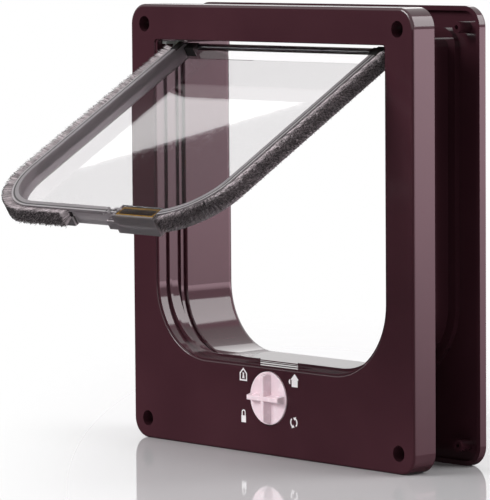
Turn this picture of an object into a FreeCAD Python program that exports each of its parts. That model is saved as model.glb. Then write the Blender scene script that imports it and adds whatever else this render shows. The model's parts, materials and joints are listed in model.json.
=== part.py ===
import FreeCAD, Part
import math
import os

# Four-way locking cat flap for a door, shown with its flap raised.
# Millimetres. X is to the right seen from the room, Y runs through the door
# from the room to the outside, Z is up. The origin is the centre of the four
# fixing holes, on the face of the inside frame that bears on the door.

V = FreeCAD.Vector

# Modelling allowances: overlap of joined walls, tolerance for finding edges, least corner radius
weld = 0.1
same = 0.001
least_r = 0.2

# Plates and door
plate_w = 234.0
plate_h = 252.0
plate_corner_r = 11.5
edge_r = 1.6
skirt_wall = 2.6
front_depth = 16.0
front_face_wall = 2.6
door_t = 34.2
rear_depth = 5.6
rear_face_wall = 2.4

# Fixing holes, and the posts of the outside frame that the screws go into
hole_in_x = 12.2
hole_in_z = 11.55
fix_hole_r = 2.6
fix_head_r = 4.5
fix_head_depth = 8.5
fix_boss_r = 7.6
post_r = 3.2
post_pilot_r = 1.2
post_reach = 5.5

# Mouth of the inside frame, and the reveal that steps in behind it
mouth_side_border = 21.0
mouth_top_border = 20.4
mouth_low_r = 43.0
mouth_high_r = 2.0
mouth_edge_r = 0.7
rebate_depth = 0.9
lintel_depth = 4.6
lintel_drop = 1.8
reveal_step = 1.6
sill_step = 0.9
reveal_wall = 2.0

# Draught rib round the reveal, open in the middle of the sill for the lock
rib_front = 7.4
rib_t = 1.6
rib_height = 2.6
rib_side_height = 1.6
rib_gap = 33.0
rib_top_drop = 16.0
rib_crest_over = 5.0

# Telescoping tunnel: a collar on the inside frame, a sleeve on the outside frame
sleeve_step = 3.4
sleeve_top_step = 0.4
sleeve_low_tighter = 3.4
sleeve_high_r = 3.4
sleeve_wall = 1.6
sleeve_start = 3.0
slide_fit = 0.3
slide_in = 2.2
collar_wall = 1.8
collar_root = 1.0
collar_length = 24.0
rear_mouth_r = 4.6
rear_mouth_band = 7.2
lead_in = 0.6

# Hinge line: behind the front face and below the mouth's top, and how far the flap is raised
hinge_back = 15.0
hinge_drop = 4.4
raise_deg = 58.9
rod_r = 1.0
rod_run = 0.05
rod_seat = 0.02
barrel_r = 2.1
bearing_r = 2.4
bearing_past_wall = 0.8
bearing_seat = 0.02
bearing_gap = 0.4
arm_shelf_front = 4.8
arm_shelf_w = 3.2
shelf_front = 12.0
shelf_h = 1.7
shelf_rise = 1.8

# Flap, measured down from the hinge line
flap_side_gap = 9.5
flap_t = 11.4
flap_corner_tighter = 5.4
arm_start = 6.0
rim_w = 4.5
groove_depth = 3.0
front_flange = 1.2
groove_w = 5.0
pane_t = 2.2
header_bend = 6.5
header_drop = 9.0
header_root_part = 0.8
gusset_root_part = 0.9
tongue_t = 2.0
lock_notch_half_w = 14.5

# Pile strips and their backing
backing_t = 1.0
pile_reach = 5.7
pile_side_gap = 0.3
pile_start = 8.5
pile_tip_r = 0.9
pile_left_end = 15.0
pile_left_slant = 3.6
pile_housing_gap = 1.0

# Magnets: one under the sill just clear of the lock's blades, one above it in the flap
magnet_past_blade = 0.6
magnet_l = 30.0
magnet_rise = 6.0
magnet_h = 7.4
magnet_t = 5.2
magnet_fit = 0.1
pocket_wall = 2.0
pocket_floor = 1.2
lid_ledge = 1.0
ear_l = 8.0
ear_rib = 1.1
ear_clear = 2.42
ear_brace_w = 1.54
sill_magnet_l = 21.0
sill_magnet_t = 4.0
sill_magnet_h = 4.0
sill_magnet_back = 12.2
sill_pocket_wall = 1.5
cap_t = 1.2
cap_lip_h = 3.0

# Black clips at the upper corners of the flap
clip_reach = 23.9
clip_start = 3.0
clip_end = 11.4
clip_corner_r = 3.0

# Lock. The flap's lower edge hangs above the sill, and a raised blade catches it
knob_r = 15.0
knob_gap = 0.6
knob_proud = 0.5
knob_edge_r = 0.5
sill_over_knob = 3.0
blade_rise = 11.4
blade_catch = 2.2
knob_run = 0.2
recess_depth = 2.0
knob_seat_wall = 2.4
knob_hub_r = 5.9
hub_run = 0.06
fin_proud = 4.6
fin_base_w = 4.4
fin_crest_w = 2.6
fin_end_gap = 0.9
fin_lean = 1.2
fin_edge_r = 0.6
drive_square = 6.0
drive_depth = 2.4
drive_fit = 0.05
blade_w = 22.0
blade_t = 2.2
blade_pitch = 7.0
blade_clear = 0.4
slot_clear = 0.35
barrel_core_r = 7.0
journal_r = 3.4
journal_run = 0.06
journal_short = 0.2
screw_r = 1.4
screw_fit = 0.02
screw_head_r = 2.5
screw_head_h = 1.5
screw_slot_w = 0.6
screw_cross_part = 0.7
knob_screw_bite = 2.6
barrel_hole_gap = 0.06

# Cover behind the lock, its screws and the detent spring
cover_t = 1.6
cover_bar_w = 12.0
cover_hub_r = 10.0
cover_end = 5.5
cover_corner_part = 0.9
cover_post_r = 3.8
cover_screw_r = 1.1
cover_head_r = 2.2
cover_head_h = 1.1
cover_screw_l = 6.0
spring_past_blade = 3.6
spring_t = 0.5
spring_w = 3.6
spring_bump_r = 1.2
spring_gap = 0.1
spring_fit = 0.03
notch_r = 1.5
spring_seat_past_blade = 2.2
spring_seat_wall = 1.2

# Stiffening ribs in the hollow of the inside frame
stiff_t = 1.6
stiff_short = 2.0
side_rib_count = 4
side_rib_in = 24.4
low_rib_in = 49.0
high_rib_in = 67.0
low_rib_rise = 10.35

# Sizes worked out from the ones above
mouth_half_w = plate_w / 2 - mouth_side_border
reveal_half_w = mouth_half_w - reveal_step
sleeve_half_w = reveal_half_w - sleeve_step
flap_half_w = reveal_half_w - flap_side_gap
reveal_low_r = mouth_low_r - reveal_step
sleeve_low_r = reveal_low_r - sleeve_low_tighter
flap_corner_r = reveal_low_r - flap_corner_tighter
sill_over_lock = knob_r + sill_over_knob
blade_r = sill_over_lock + blade_rise
lock_h = blade_r + skirt_wall + blade_clear
sill_h = lock_h + sill_over_lock
mouth_top_h = plate_h - mouth_top_border
hinge_h = mouth_top_h - hinge_drop
flap_drop = hinge_h - sill_h - (blade_rise - blade_catch)
magnet_drop = flap_drop - magnet_rise
magnet_x = blade_r + magnet_past_blade + sill_pocket_wall + sill_magnet_l / 2
cover_screw_x = blade_r + 2 * cover_post_r
spring_half_l = blade_r + spring_past_blade
spring_seat_in = blade_r + spring_seat_past_blade
hole_x = plate_w / 2 - hole_in_x
hole_z = plate_h / 2 - hole_in_z

# Levels in the part's own frame
floor_z = -plate_h / 2
front_y = -front_depth
face_back_y = front_y + front_face_wall
rear_y = door_t + rear_depth
sill_z = floor_z + sill_h
sill_under_z = sill_z - reveal_wall
hinge_y = front_y + hinge_back
hinge_z = floor_z + hinge_h
lock_z = floor_z + lock_h
knob_seat_y = front_y + recess_depth
blade_a_y = knob_seat_y + knob_seat_wall + blade_clear
blade_b_y = blade_a_y + blade_pitch
barrel_back_y = blade_b_y + blade_t
cover_y = barrel_back_y + blade_clear
half_t = flap_t / 2
flange_in_w = half_t - front_flange
groove_back_w = flange_in_w - groove_w
pane_front_w = pane_t - half_t
bearing_in = flap_half_w + bearing_gap
bearing_out = reveal_half_w + reveal_wall + bearing_past_wall
spring_y = (blade_a_y + barrel_back_y) / 2
spring_z = lock_z - barrel_core_r - spring_gap - spring_bump_r
hole_xz = [(sx * hole_x, sz * hole_z) for sz in (1, -1) for sx in (-1, 1)]


def outline(half_w, bottom, top, r_low, r_high):
    """Sizes of a rounded outline that is symmetrical left and right."""
    return dict(half_w=half_w, bottom=bottom, top=top, r_low=r_low, r_high=r_high)


def grown(o, d):
    """The same outline moved outwards by d, or inwards where d is negative."""
    r_high = max(o["r_high"] + d, least_r)
    return outline(o["half_w"] + d, o["bottom"] - d, o["top"] + d, o["r_low"] + d, r_high)


def face_of(o, y):
    """The outline as a face at depth y."""
    w, b, t, low, high = o["half_w"], o["bottom"], o["top"], o["r_low"], o["r_high"]
    corners = [(w - low, b + low, low, -45), (w - high, t - high, high, 45),
               (high - w, t - high, high, 135), (low - w, b + low, low, 225)]
    arcs = []
    for x, z, r, mid in corners:
        turns = [math.radians(mid + d) for d in (-45, 0, 45)]
        arcs.append([V(x + r * math.cos(a), y, z + r * math.sin(a)) for a in turns])
    edges = []
    for i, arc in enumerate(arcs):
        edges.append(Part.Arc(*arc).toShape())
        edges.append(Part.makeLine(arc[2], arcs[(i + 1) % 4][0]))
    return Part.Face(Part.Wire(edges))


def prism(o, y0, y1):
    """The outline as a solid from depth y0 to y1."""
    return face_of(o, y0).extrude(V(0, y1 - y0, 0))


def ring(outer, inner, y0, y1):
    """The wall between two outlines."""
    return prism(outer, y0, y1).cut(prism(inner, y0 - 1, y1 + 1))


def box(x0, x1, y0, y1, z0, z1):
    """A block between two positions along each axis, in any order in X."""
    return Part.makeBox(abs(x1 - x0), y1 - y0, z1 - z0, V(min(x0, x1), y0, z0))


def rod_y(r, x, z, y0, y1):
    """A cylinder along the door's thickness."""
    return Part.makeCylinder(r, y1 - y0, V(x, y0, z), V(0, 1, 0))


def rod_x(r, x0, x1):
    """A cylinder round the hinge line."""
    return Part.makeCylinder(r, abs(x1 - x0), V(min(x0, x1), hinge_y, hinge_z), V(1, 0, 0))


def edges_at(shape, y, o):
    """Edges in the plane at depth y that lie within an outline's width and height."""
    found = []
    for e in shape.Edges:
        b = e.BoundBox
        flat = abs(b.YMin - y) < same and abs(b.YMax - y) < same
        inside = max(-b.XMin, b.XMax) < o["half_w"] + same
        if flat and inside and b.ZMin > o["bottom"] - same and b.ZMax < o["top"] + same:
            found.append(e)
    return found


plate = outline(plate_w / 2, floor_z, -floor_z, plate_corner_r, plate_corner_r)
mouth = outline(mouth_half_w, sill_z - sill_step, floor_z + mouth_top_h, mouth_low_r, mouth_high_r)
reveal = outline(reveal_half_w, sill_z, mouth["top"] + lintel_drop, reveal_low_r, mouth_high_r)
lintel = outline(reveal_half_w, sill_z, mouth["top"], reveal_low_r, mouth_high_r)
sleeve = outline(sleeve_half_w, sill_z, reveal["top"] - sleeve_top_step, sleeve_low_r, sleeve_high_r)
sleeve_outer = grown(sleeve, sleeve_wall)
collar = grown(sleeve_outer, slide_fit)
flap_edge = outline(flap_half_w, hinge_z - flap_drop, hinge_z + flap_t, flap_corner_r, mouth_high_r)


def dished_plate(y_face, y_open, face_wall):
    """A moulded plate with a skirt, open on the side that bears on the door."""
    inward = math.copysign(1, y_open - y_face)
    body = prism(plate, *sorted((y_face, y_open)))
    body = body.makeFillet(edge_r, edges_at(body, y_face, plate))
    hollow = sorted((y_face + inward * face_wall, y_open + inward))
    return body.cut(prism(grown(plate, -skirt_wall), *hollow))


def stiffeners():
    """Thin ribs from the skirt to the reveal and to the screw bosses."""
    y0, y1 = face_back_y - weld, -stiff_short
    skirt_x = plate_w / 2 - skirt_wall
    skirt_z = plate_h / 2 - skirt_wall
    ribs = []
    for i in range(side_rib_count):
        z = 2 * hole_z * ((i + 1) / (side_rib_count + 1) - 0.5) - stiff_t / 2
        for s in (-1, 1):
            ribs.append(box(s * (reveal_half_w - side_rib_in), s * skirt_x, y0, y1, z, z + stiff_t))
    for s in (-1, 1):
        x = s * (plate_w / 2 - low_rib_in) - stiff_t / 2
        ribs.append(box(x, x + stiff_t, y0, y1, -skirt_z, sill_z + low_rib_rise))
        x = s * (plate_w / 2 - high_rib_in) - stiff_t / 2
        ribs.append(box(x, x + stiff_t, y0, y1, reveal["top"], skirt_z))
    for x, z in hole_xz:
        z0, z1 = sorted((z, math.copysign(skirt_z, z)))
        ribs.append(box(x, math.copysign(skirt_x, x), y0, y1, z - stiff_t / 2, z + stiff_t / 2))
        ribs.append(box(x - stiff_t / 2, x + stiff_t / 2, y0, y1, z0, z1))
    return ribs


def draught_rib():
    """Raised rib round the sides and sill of the reveal, open above the lock."""
    y0 = front_y + rib_front
    y1 = y0 + rib_t
    crest = outline(reveal_half_w - rib_side_height, sill_z + rib_height, reveal["top"] + rib_crest_over,
                    reveal_low_r - rib_side_height, mouth_high_r)
    rib = ring(grown(reveal, reveal_wall / 2), crest, y0, y1)
    rib = rib.cut(box(-rib_gap / 2, rib_gap / 2, y0 - 1, y1 + 1, floor_z, 0))
    return rib.cut(box(-plate_w, plate_w, y0 - 1, y1 + 1, hinge_z - rib_top_drop, plate_h))


def sill_slots():
    """Two slots in the sill, as long as the sweep of the lock blades there."""
    half = math.sqrt(blade_r ** 2 - (sill_under_z - lock_z) ** 2) + slot_clear
    z0, z1 = sill_under_z - 1, sill_z + rib_height + 1
    return [box(-half, half, y - slot_clear, y + blade_t + slot_clear, z0, z1)
            for y in (blade_a_y, blade_b_y)]


def sill_magnet_space(side, below):
    """The sill magnet's block under the sill, grown at its sides and downwards."""
    y = front_y + sill_magnet_back
    half_l = sill_magnet_l / 2 + side
    half_d = sill_magnet_t / 2 + side
    return box(magnet_x - half_l, magnet_x + half_l, y - half_d, y + half_d,
               sill_under_z - sill_magnet_h - below, sill_under_z)


def spring_leaf(gap):
    """The straight leaf of the detent spring, grown by gap."""
    half_l = spring_half_l + gap
    half_d = spring_w / 2 + gap
    return box(-half_l, half_l, spring_y - half_d, spring_y + half_d,
               spring_z - spring_t - gap, spring_z + gap)


def spring_seats():
    """Two blocks beside the cover posts that hold the ends of the detent spring."""
    y1 = spring_y + spring_w / 2 + spring_seat_wall
    z0 = spring_z - spring_t - spring_seat_wall
    return [box(s * spring_seat_in, s * cover_screw_x, face_back_y - weld, y1, z0, lock_z) for s in (-1, 1)]


def inside_frame():
    well_r = knob_r + knob_gap
    body = dished_plate(front_y, 0, front_face_wall)
    adds = [prism(grown(reveal, reveal_wall), face_back_y - weld, 0),
            prism(grown(collar, collar_wall), -collar_root, collar_length),
            rod_y(well_r + front_face_wall, 0, lock_z, face_back_y - weld, knob_seat_y + knob_seat_wall),
            sill_magnet_space(sill_pocket_wall, 0)]
    adds += [rod_y(fix_boss_r, x, z, face_back_y - weld, 0) for x, z in hole_xz]
    adds += [rod_y(cover_post_r, s * cover_screw_x, lock_z, face_back_y - weld, cover_y) for s in (-1, 1)]
    body = body.multiFuse(adds + spring_seats() + stiffeners())
    cuts = [prism(mouth, front_y - 1, front_y + rebate_depth),
            prism(lintel, front_y, front_y + lintel_depth + weld),
            prism(reveal, front_y + lintel_depth, weld),
            prism(collar, 0, collar_length + 1),
            sill_magnet_space(0, 1),
            spring_leaf(spring_fit),
            rod_y(well_r, 0, lock_z, front_y - 1, knob_seat_y),
            rod_y(knob_hub_r + hub_run, 0, lock_z, front_y, blade_a_y)]
    for x, z in hole_xz:
        cuts.append(rod_y(fix_hole_r, x, z, front_y - 1, 1))
        cuts.append(rod_y(fix_head_r, x, z, front_y - 1, front_y + fix_head_depth))
    for s in (-1, 1):
        cuts.append(rod_y(cover_screw_r + screw_fit, s * cover_screw_x, lock_z, -cover_screw_l - 1, 1))
        cuts.append(rod_x(bearing_r + bearing_seat, s * (collar["half_w"] - 1), s * bearing_out))
    body = body.cut(cuts)
    body = body.makeFillet(mouth_edge_r, edges_at(body, front_y, mouth))
    return body.fuse(draught_rib()).cut(sill_slots())


def outside_frame():
    body = dished_plate(rear_y, door_t, rear_face_wall)
    adds = [prism(grown(sleeve, rear_mouth_band), door_t, rear_y - edge_r),
            prism(sleeve_outer, sleeve_start, rear_y - edge_r)]
    adds += [rod_y(post_r, x, z, door_t - post_reach, rear_y - edge_r) for x, z in hole_xz]
    cuts = [prism(sleeve, sleeve_start - 1, rear_y + 1)]
    cuts += [rod_y(post_pilot_r, x, z, door_t - post_reach - 1, rear_y - rear_face_wall) for x, z in hole_xz]
    body = body.multiFuse(adds).cut(cuts)
    body = body.makeFillet(rear_mouth_r, edges_at(body, rear_y, sleeve))
    body = body.makeChamfer(lead_in, edges_at(body, sleeve_start, sleeve))
    return body.cut(rod_x(bearing_r + slide_in + slide_fit, -plate_w / 2, plate_w / 2))


def hinge_bearing(side):
    """Bearing in the side wall, with a light shelf that runs forward along the wall."""
    z0 = hinge_z + shelf_rise
    wall = side * reveal_half_w
    head = box(side * bearing_in, wall, front_y + shelf_front, 0, z0, z0 + shelf_h)
    arm = box(wall - side * arm_shelf_w, wall, front_y + arm_shelf_front, 0, z0, z0 + shelf_h)
    shape = rod_x(bearing_r, side * bearing_in, side * bearing_out).multiFuse([head, arm])
    return shape.cut(rod_x(rod_r + rod_run, -plate_w, plate_w))


def hung(x0, x1, v0, v1, w0, w1):
    """A block on the hanging flap: v down from the hinge line, w towards the room."""
    return box(x0, x1, hinge_y - w1, hinge_y - w0, hinge_z - v1, hinge_z - v0)


def hung_profile(points, x0, x1):
    """A profile of (w, v) points on the hanging flap, drawn out from x0 to x1."""
    wire = Part.makePolygon([V(x0, hinge_y - w, hinge_z - v) for w, v in points + points[:1]])
    return Part.Face(wire).extrude(V(x1 - x0, 0, 0))


def above(v):
    """Everything on the hanging flap that is higher than v."""
    return hung(-plate_w, plate_w, -plate_h, v, -plate_w, plate_w)


def hung_ring(out, inn, w0, w1):
    """A band along the flap's rim, between two offsets from its edge."""
    return ring(grown(flap_edge, out), grown(flap_edge, inn), hinge_y - w1, hinge_y - w0)


def raised(shape):
    """The hanging shape turned up into the room, as the flap is shown."""
    shape = shape.copy()
    shape.rotate(V(0, hinge_y, hinge_z), V(1, 0, 0), -raise_deg)
    return shape


housing_x0 = magnet_x - magnet_l / 2 - pocket_wall
housing_x1 = magnet_x + magnet_l / 2 + pocket_wall
lid_x1 = housing_x1 - lid_ledge
housing_v0 = magnet_drop - pocket_floor
housing_v1 = magnet_drop + magnet_h + pocket_floor
magnet_w0 = flange_in_w - magnet_t


def magnet_block(gap, w1):
    """The flap magnet's block, grown by gap round its sides."""
    half_l = magnet_l / 2 + gap
    return hung(magnet_x - half_l, magnet_x + half_l, magnet_drop - gap, magnet_drop + magnet_h + gap,
                magnet_w0, w1)


def flap_panel():
    """Clear moulding: pane, channelled rim, header, hinge bar and magnet housing."""
    arm_in = flap_half_w - rim_w
    rim = hung_ring(0, -rim_w, -half_t, half_t).cut(hung_ring(1, -groove_depth, groove_back_w, flange_in_w))
    pane = prism(grown(flap_edge, -rim_w / 2), hinge_y - pane_front_w, hinge_y + half_t)
    body = rim.fuse(pane).cut(above(arm_start))
    header_root = header_root_part * barrel_r
    header = [(-header_root, 0), (-half_t, arm_start), (-half_t, header_drop), (pane_front_w, header_drop),
              (pane_front_w, header_bend), (header_root, barrel_r / 2)]
    gusset_root = gusset_root_part * barrel_r
    gusset = [(-gusset_root, 0), (-half_t, arm_start), (half_t, arm_start), (gusset_root, 0)]
    adds = [hung_profile(header, -flap_half_w, flap_half_w),
            hung_profile(gusset, -flap_half_w, -arm_in),
            hung_profile(gusset, arm_in, flap_half_w),
            rod_x(barrel_r, -flap_half_w, flap_half_w),
            hung(-lock_notch_half_w, lock_notch_half_w, flap_drop - rim_w, flap_drop,
                 half_t - tongue_t, half_t),
            hung(housing_x0, housing_x1, housing_v0, housing_v1, -half_t, flange_in_w)]
    cuts = [rod_x(rod_r + rod_seat, -plate_w, plate_w),
            hung(-lock_notch_half_w, lock_notch_half_w, flap_drop - groove_depth, flap_drop + 1,
                 -half_t - 1, half_t - tongue_t),
            hung(housing_x0 - ear_l, lid_x1, housing_v0, housing_v1, flange_in_w, half_t + 1),
            magnet_block(magnet_fit, half_t + 1),
            hung(-flap_half_w - 1, -arm_in, 0, clip_end, flange_in_w, half_t + 1),
            hung(arm_in, flap_half_w + 1, 0, clip_end, flange_in_w, half_t + 1)]
    return body.multiFuse(adds).cut(cuts)


def strip_side(band, side):
    """The left or right length of a band in the rim's groove."""
    band = band.cut(above(pile_start))
    if side > 0:
        return band.cut(hung(-plate_w, housing_x1 + pile_housing_gap, 0, plate_h, -plate_w, plate_w))
    x0 = -pile_left_end - pile_left_slant
    wedge = Part.makePolygon([V(-pile_left_end, hinge_y - half_t, floor_z), V(x0, hinge_y + half_t, floor_z),
                              V(plate_w, hinge_y + half_t, floor_z), V(plate_w, hinge_y - half_t, floor_z),
                              V(-pile_left_end, hinge_y - half_t, floor_z)])
    return band.cut(Part.Face(wedge).extrude(V(0, 0, plate_h)))


def pile_strip(side):
    """Brush of pile that stands out of the groove, with rounded tips."""
    band = hung_ring(pile_reach, backing_t - groove_depth, groove_back_w + pile_side_gap,
                     flange_in_w - pile_side_gap)
    tips = []
    for e in band.Edges:
        b = e.BoundBox
        if b.YLength < same and (max(-b.XMin, b.XMax) > flap_half_w or b.ZMin < flap_edge["bottom"]):
            tips.append(e)
    return strip_side(band.makeFillet(pile_tip_r, tips), side)


def pile_backing(side):
    """Stiff backing of the pile, seated on the floor of the groove."""
    band = hung_ring(backing_t - groove_depth, -groove_depth, groove_back_w + pile_side_gap,
                     flange_in_w - pile_side_gap)
    return strip_side(band, side)


def hinge_clip(side, panel):
    """Black clip on an upper corner of the flap, shaped to the header behind it."""
    reach = side * (flap_half_w - clip_reach)
    front = hung(side * flap_half_w, reach, clip_start, clip_end, flange_in_w, half_t)
    block = hung(side * (flap_half_w - rim_w), reach, clip_start, clip_end, pane_front_w, flange_in_w)
    clip = front.fuse(block).removeSplitter()
    corner = []
    for e in clip.Edges:
        b = e.BoundBox
        at_corner = abs(b.XMin - reach) < same and abs(b.ZMax - hinge_z + clip_end) < same
        if at_corner and b.XLength < same and b.ZLength < same:
            corner.append(e)
    return clip.makeFillet(clip_corner_r, corner).cut(panel)


def magnet_cover():
    """Clear lid over the magnet, with a braced snap ear on its left."""
    lid = hung(housing_x0, lid_x1, housing_v0, housing_v1, flange_in_w, half_t)
    v0, v1 = flap_drop - rim_w, flap_drop
    x0 = housing_x0 - ear_clear - ear_rib
    x1 = housing_x0 - ear_l + magnet_fit
    brace = [V(x, hinge_y - half_t, hinge_z - v) for x, v in
             ((x0 + ear_rib, v0), (x0 + ear_rib, v0 + 2 * ear_rib), (x1 + ear_brace_w, v1), (x1, v1))]
    ear = [hung(x0, x0 + ear_rib, v0, v1, flange_in_w, half_t),
           hung(x0, housing_x0, v1 - ear_rib, v1, flange_in_w, half_t),
           hung(x0, housing_x0, v0, v0 + ear_rib, flange_in_w, half_t),
           Part.Face(Part.makePolygon(brace + brace[:1])).extrude(V(0, front_flange, 0))]
    return lid.multiFuse(ear).removeSplitter()


def sill_magnet_cap():
    """Cap under the pocket of the sill magnet, with a lip up each end."""
    b = sill_magnet_space(sill_pocket_wall, 0).BoundBox
    base = box(b.XMin - cap_t, b.XMax + cap_t, b.YMin, b.YMax, b.ZMin - cap_t, b.ZMin)
    lips = [box(x, x + cap_t, b.YMin, b.YMax, b.ZMin - cap_t, b.ZMin - cap_t + cap_lip_h)
            for x in (b.XMin - cap_t, b.XMax)]
    return base.multiFuse(lips).removeSplitter()


def fin(turn):
    """One tapered fin across the knob, with its ends rounded to the disc."""
    y0 = front_y - knob_proud
    crest_y = y0 - fin_proud
    r = knob_r - fin_end_gap
    b, c = fin_base_w / 2, fin_crest_w / 2
    section = [V(-r, y0 + 1, lock_z - b), V(-r, y0, lock_z - b), V(-r, crest_y, lock_z - c),
               V(-r, crest_y, lock_z + c), V(-r, y0, lock_z + b), V(-r, y0 + 1, lock_z + b)]
    bar = Part.Face(Part.makePolygon(section + section[:1])).extrude(V(2 * r, 0, 0))
    bar = bar.common(Part.makeCone(r, r - fin_lean, y0 + 1 - crest_y, V(0, y0 + 1, lock_z), V(0, -1, 0)))
    bar = bar.makeFillet(fin_edge_r, [e for e in bar.Edges if abs(e.BoundBox.YMax - crest_y) < same])
    bar.rotate(V(0, 0, lock_z), V(0, 1, 0), turn)
    return bar


def lock_knob():
    """Round knob with crossed fins, a hub through the plate and a square drive."""
    y0 = front_y - knob_proud
    disc = rod_y(knob_r, 0, lock_z, y0, knob_seat_y - knob_run)
    disc = disc.makeFillet(knob_edge_r, [e for e in disc.Edges if abs(e.BoundBox.YMax - y0) < same])
    half = drive_square / 2
    adds = [rod_y(knob_hub_r, 0, lock_z, y0 + 1, blade_a_y),
            box(-half, half, blade_a_y - 1, blade_a_y + drive_depth, lock_z - half, lock_z + half),
            fin(0), fin(90)]
    return disc.multiFuse(adds).cut(rod_y(screw_r + screw_fit, 0, lock_z, blade_a_y - knob_screw_bite, 0))


def lobe(turn, y):
    """One blade with a round tip, pointing right before it is turned anticlockwise."""
    blade = box(0, blade_r, y, y + blade_t, lock_z - blade_w / 2, lock_z + blade_w / 2)
    blade = blade.common(rod_y(blade_r, 0, lock_z, y, y + blade_t))
    blade.rotate(V(0, 0, lock_z), V(0, -1, 0), turn)
    return blade


def lock_barrel():
    """Core with two pairs of blades. The front pair stops the flap coming in, the
    rear pair stops it going out. In this place both are under the sill."""
    core = rod_y(barrel_core_r, 0, lock_z, blade_a_y, barrel_back_y)
    adds = [lobe(180, blade_a_y), lobe(270, blade_a_y), lobe(0, blade_b_y), lobe(180, blade_b_y),
            rod_y(journal_r, 0, lock_z, barrel_back_y - 1, -journal_short)]
    half = drive_square / 2 + drive_fit
    cuts = [box(-half, half, blade_a_y - 1, blade_a_y + drive_depth + drive_fit,
                lock_z - half, lock_z + half),
            rod_y(screw_r + barrel_hole_gap, 0, lock_z, blade_a_y, 1),
            rod_y(screw_head_r + barrel_hole_gap, 0, lock_z, -journal_short - screw_head_h, 1)]
    for i in range(4):
        notch = rod_y(notch_r, 0, spring_z, blade_a_y + blade_t, blade_b_y)
        notch.rotate(V(0, 0, lock_z), V(0, 1, 0), 90 * i)
        cuts.append(notch)
    return core.multiFuse(adds).removeSplitter().cut(cuts)


def knob_screw():
    """Cross-head screw through the barrel into the knob, put in from behind."""
    y1 = -journal_short
    shank = rod_y(screw_r, 0, lock_z, blade_a_y - knob_screw_bite, y1 - screw_head_h / 2)
    head = rod_y(screw_head_r, 0, lock_z, y1 - screw_head_h, y1)
    half = screw_slot_w / 2
    long = screw_cross_part * screw_head_r
    cross = [box(-a, a, y1 - screw_head_h / 2, y1 + 1, lock_z - b, lock_z + b)
             for a, b in ((long, half), (half, long))]
    return shank.fuse(head).cut(cross)


def cover_screw(side, gap):
    """Countersunk screw of the lock cover, grown by gap."""
    x = side * cover_screw_x
    y1 = cover_y + cover_t
    head = Part.makeCone(cover_head_r + gap, cover_screw_r + gap, cover_head_h, V(x, y1, lock_z), V(0, -1, 0))
    return head.fuse(rod_y(cover_screw_r + gap, x, lock_z, -cover_screw_l, y1))


def lock_cover_screws():
    """The two screws of the lock cover, as one group."""
    y1 = cover_y + cover_t
    half = screw_slot_w / 2
    screws = []
    for s in (-1, 1):
        x = s * cover_screw_x
        slot = box(x - cover_head_r, x + cover_head_r, y1 - cover_head_h / 2, y1 + 1,
                   lock_z - half, lock_z + half)
        screws.append(cover_screw(s, 0).cut(slot))
    return Part.makeCompound(screws)


def lock_cover():
    """Bar across the back of the lock that carries the barrel's journal."""
    half_l = cover_screw_x + cover_end
    half_w = cover_bar_w / 2
    bar = box(-half_l, half_l, cover_y, cover_y + cover_t, lock_z - half_w, lock_z + half_w)
    ends = [e for e in bar.Edges if e.BoundBox.XLength < same and e.BoundBox.ZLength < same]
    bar = bar.makeFillet(cover_corner_part * half_w, ends)
    bar = bar.fuse(rod_y(cover_hub_r, 0, lock_z, cover_y, cover_y + cover_t))
    return bar.cut([rod_y(journal_r + journal_run, 0, lock_z, cover_y - 1, 1),
                    cover_screw(-1, screw_fit), cover_screw(1, screw_fit)])


def detent_spring():
    """Steel leaf under the barrel, with a bump that drops into its four notches."""
    leaf = spring_leaf(0)
    b = leaf.BoundBox
    bump = rod_y(spring_bump_r, 0, spring_z, b.YMin, b.YMax)
    bump = bump.cut(box(-plate_w, plate_w, b.YMin - 1, b.YMax + 1, floor_z, spring_z - spring_t))
    return leaf.fuse(bump).removeSplitter()


hanging_panel = flap_panel()

nodes = {
    "inside_frame": inside_frame(),
    "outside_frame": outside_frame(),
    "hinge_bearing_left": hinge_bearing(-1),
    "hinge_bearing_right": hinge_bearing(1),
    "flap_panel": raised(hanging_panel),
    "pile_strip_left": raised(pile_strip(-1)),
    "pile_strip_right": raised(pile_strip(1)),
    "pile_backing_left": raised(pile_backing(-1)),
    "pile_backing_right": raised(pile_backing(1)),
    "hinge_clip_left": raised(hinge_clip(-1, hanging_panel)),
    "hinge_clip_right": raised(hinge_clip(1, hanging_panel)),
    "hinge_rod": rod_x(rod_r, -bearing_out, bearing_out),
    "flap_magnet": raised(magnet_block(0, flange_in_w)),
    "magnet_cover": raised(magnet_cover()),
    "lock_knob": lock_knob(),
    "lock_barrel": lock_barrel(),
    "knob_screw": knob_screw(),
    "lock_cover": lock_cover(),
    "lock_cover_screws": lock_cover_screws(),
    "detent_spring": detent_spring(),
    "sill_magnet": sill_magnet_space(-magnet_fit, 0),
    "sill_magnet_cap": sill_magnet_cap(),
}

os.makedirs("parts", exist_ok=True)
for name, shape in nodes.items():
    shape.exportStep("parts/" + name + ".step")
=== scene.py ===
import json
import math
import random

import bmesh
import bpy
from mathutils import Matrix, Vector


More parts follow.
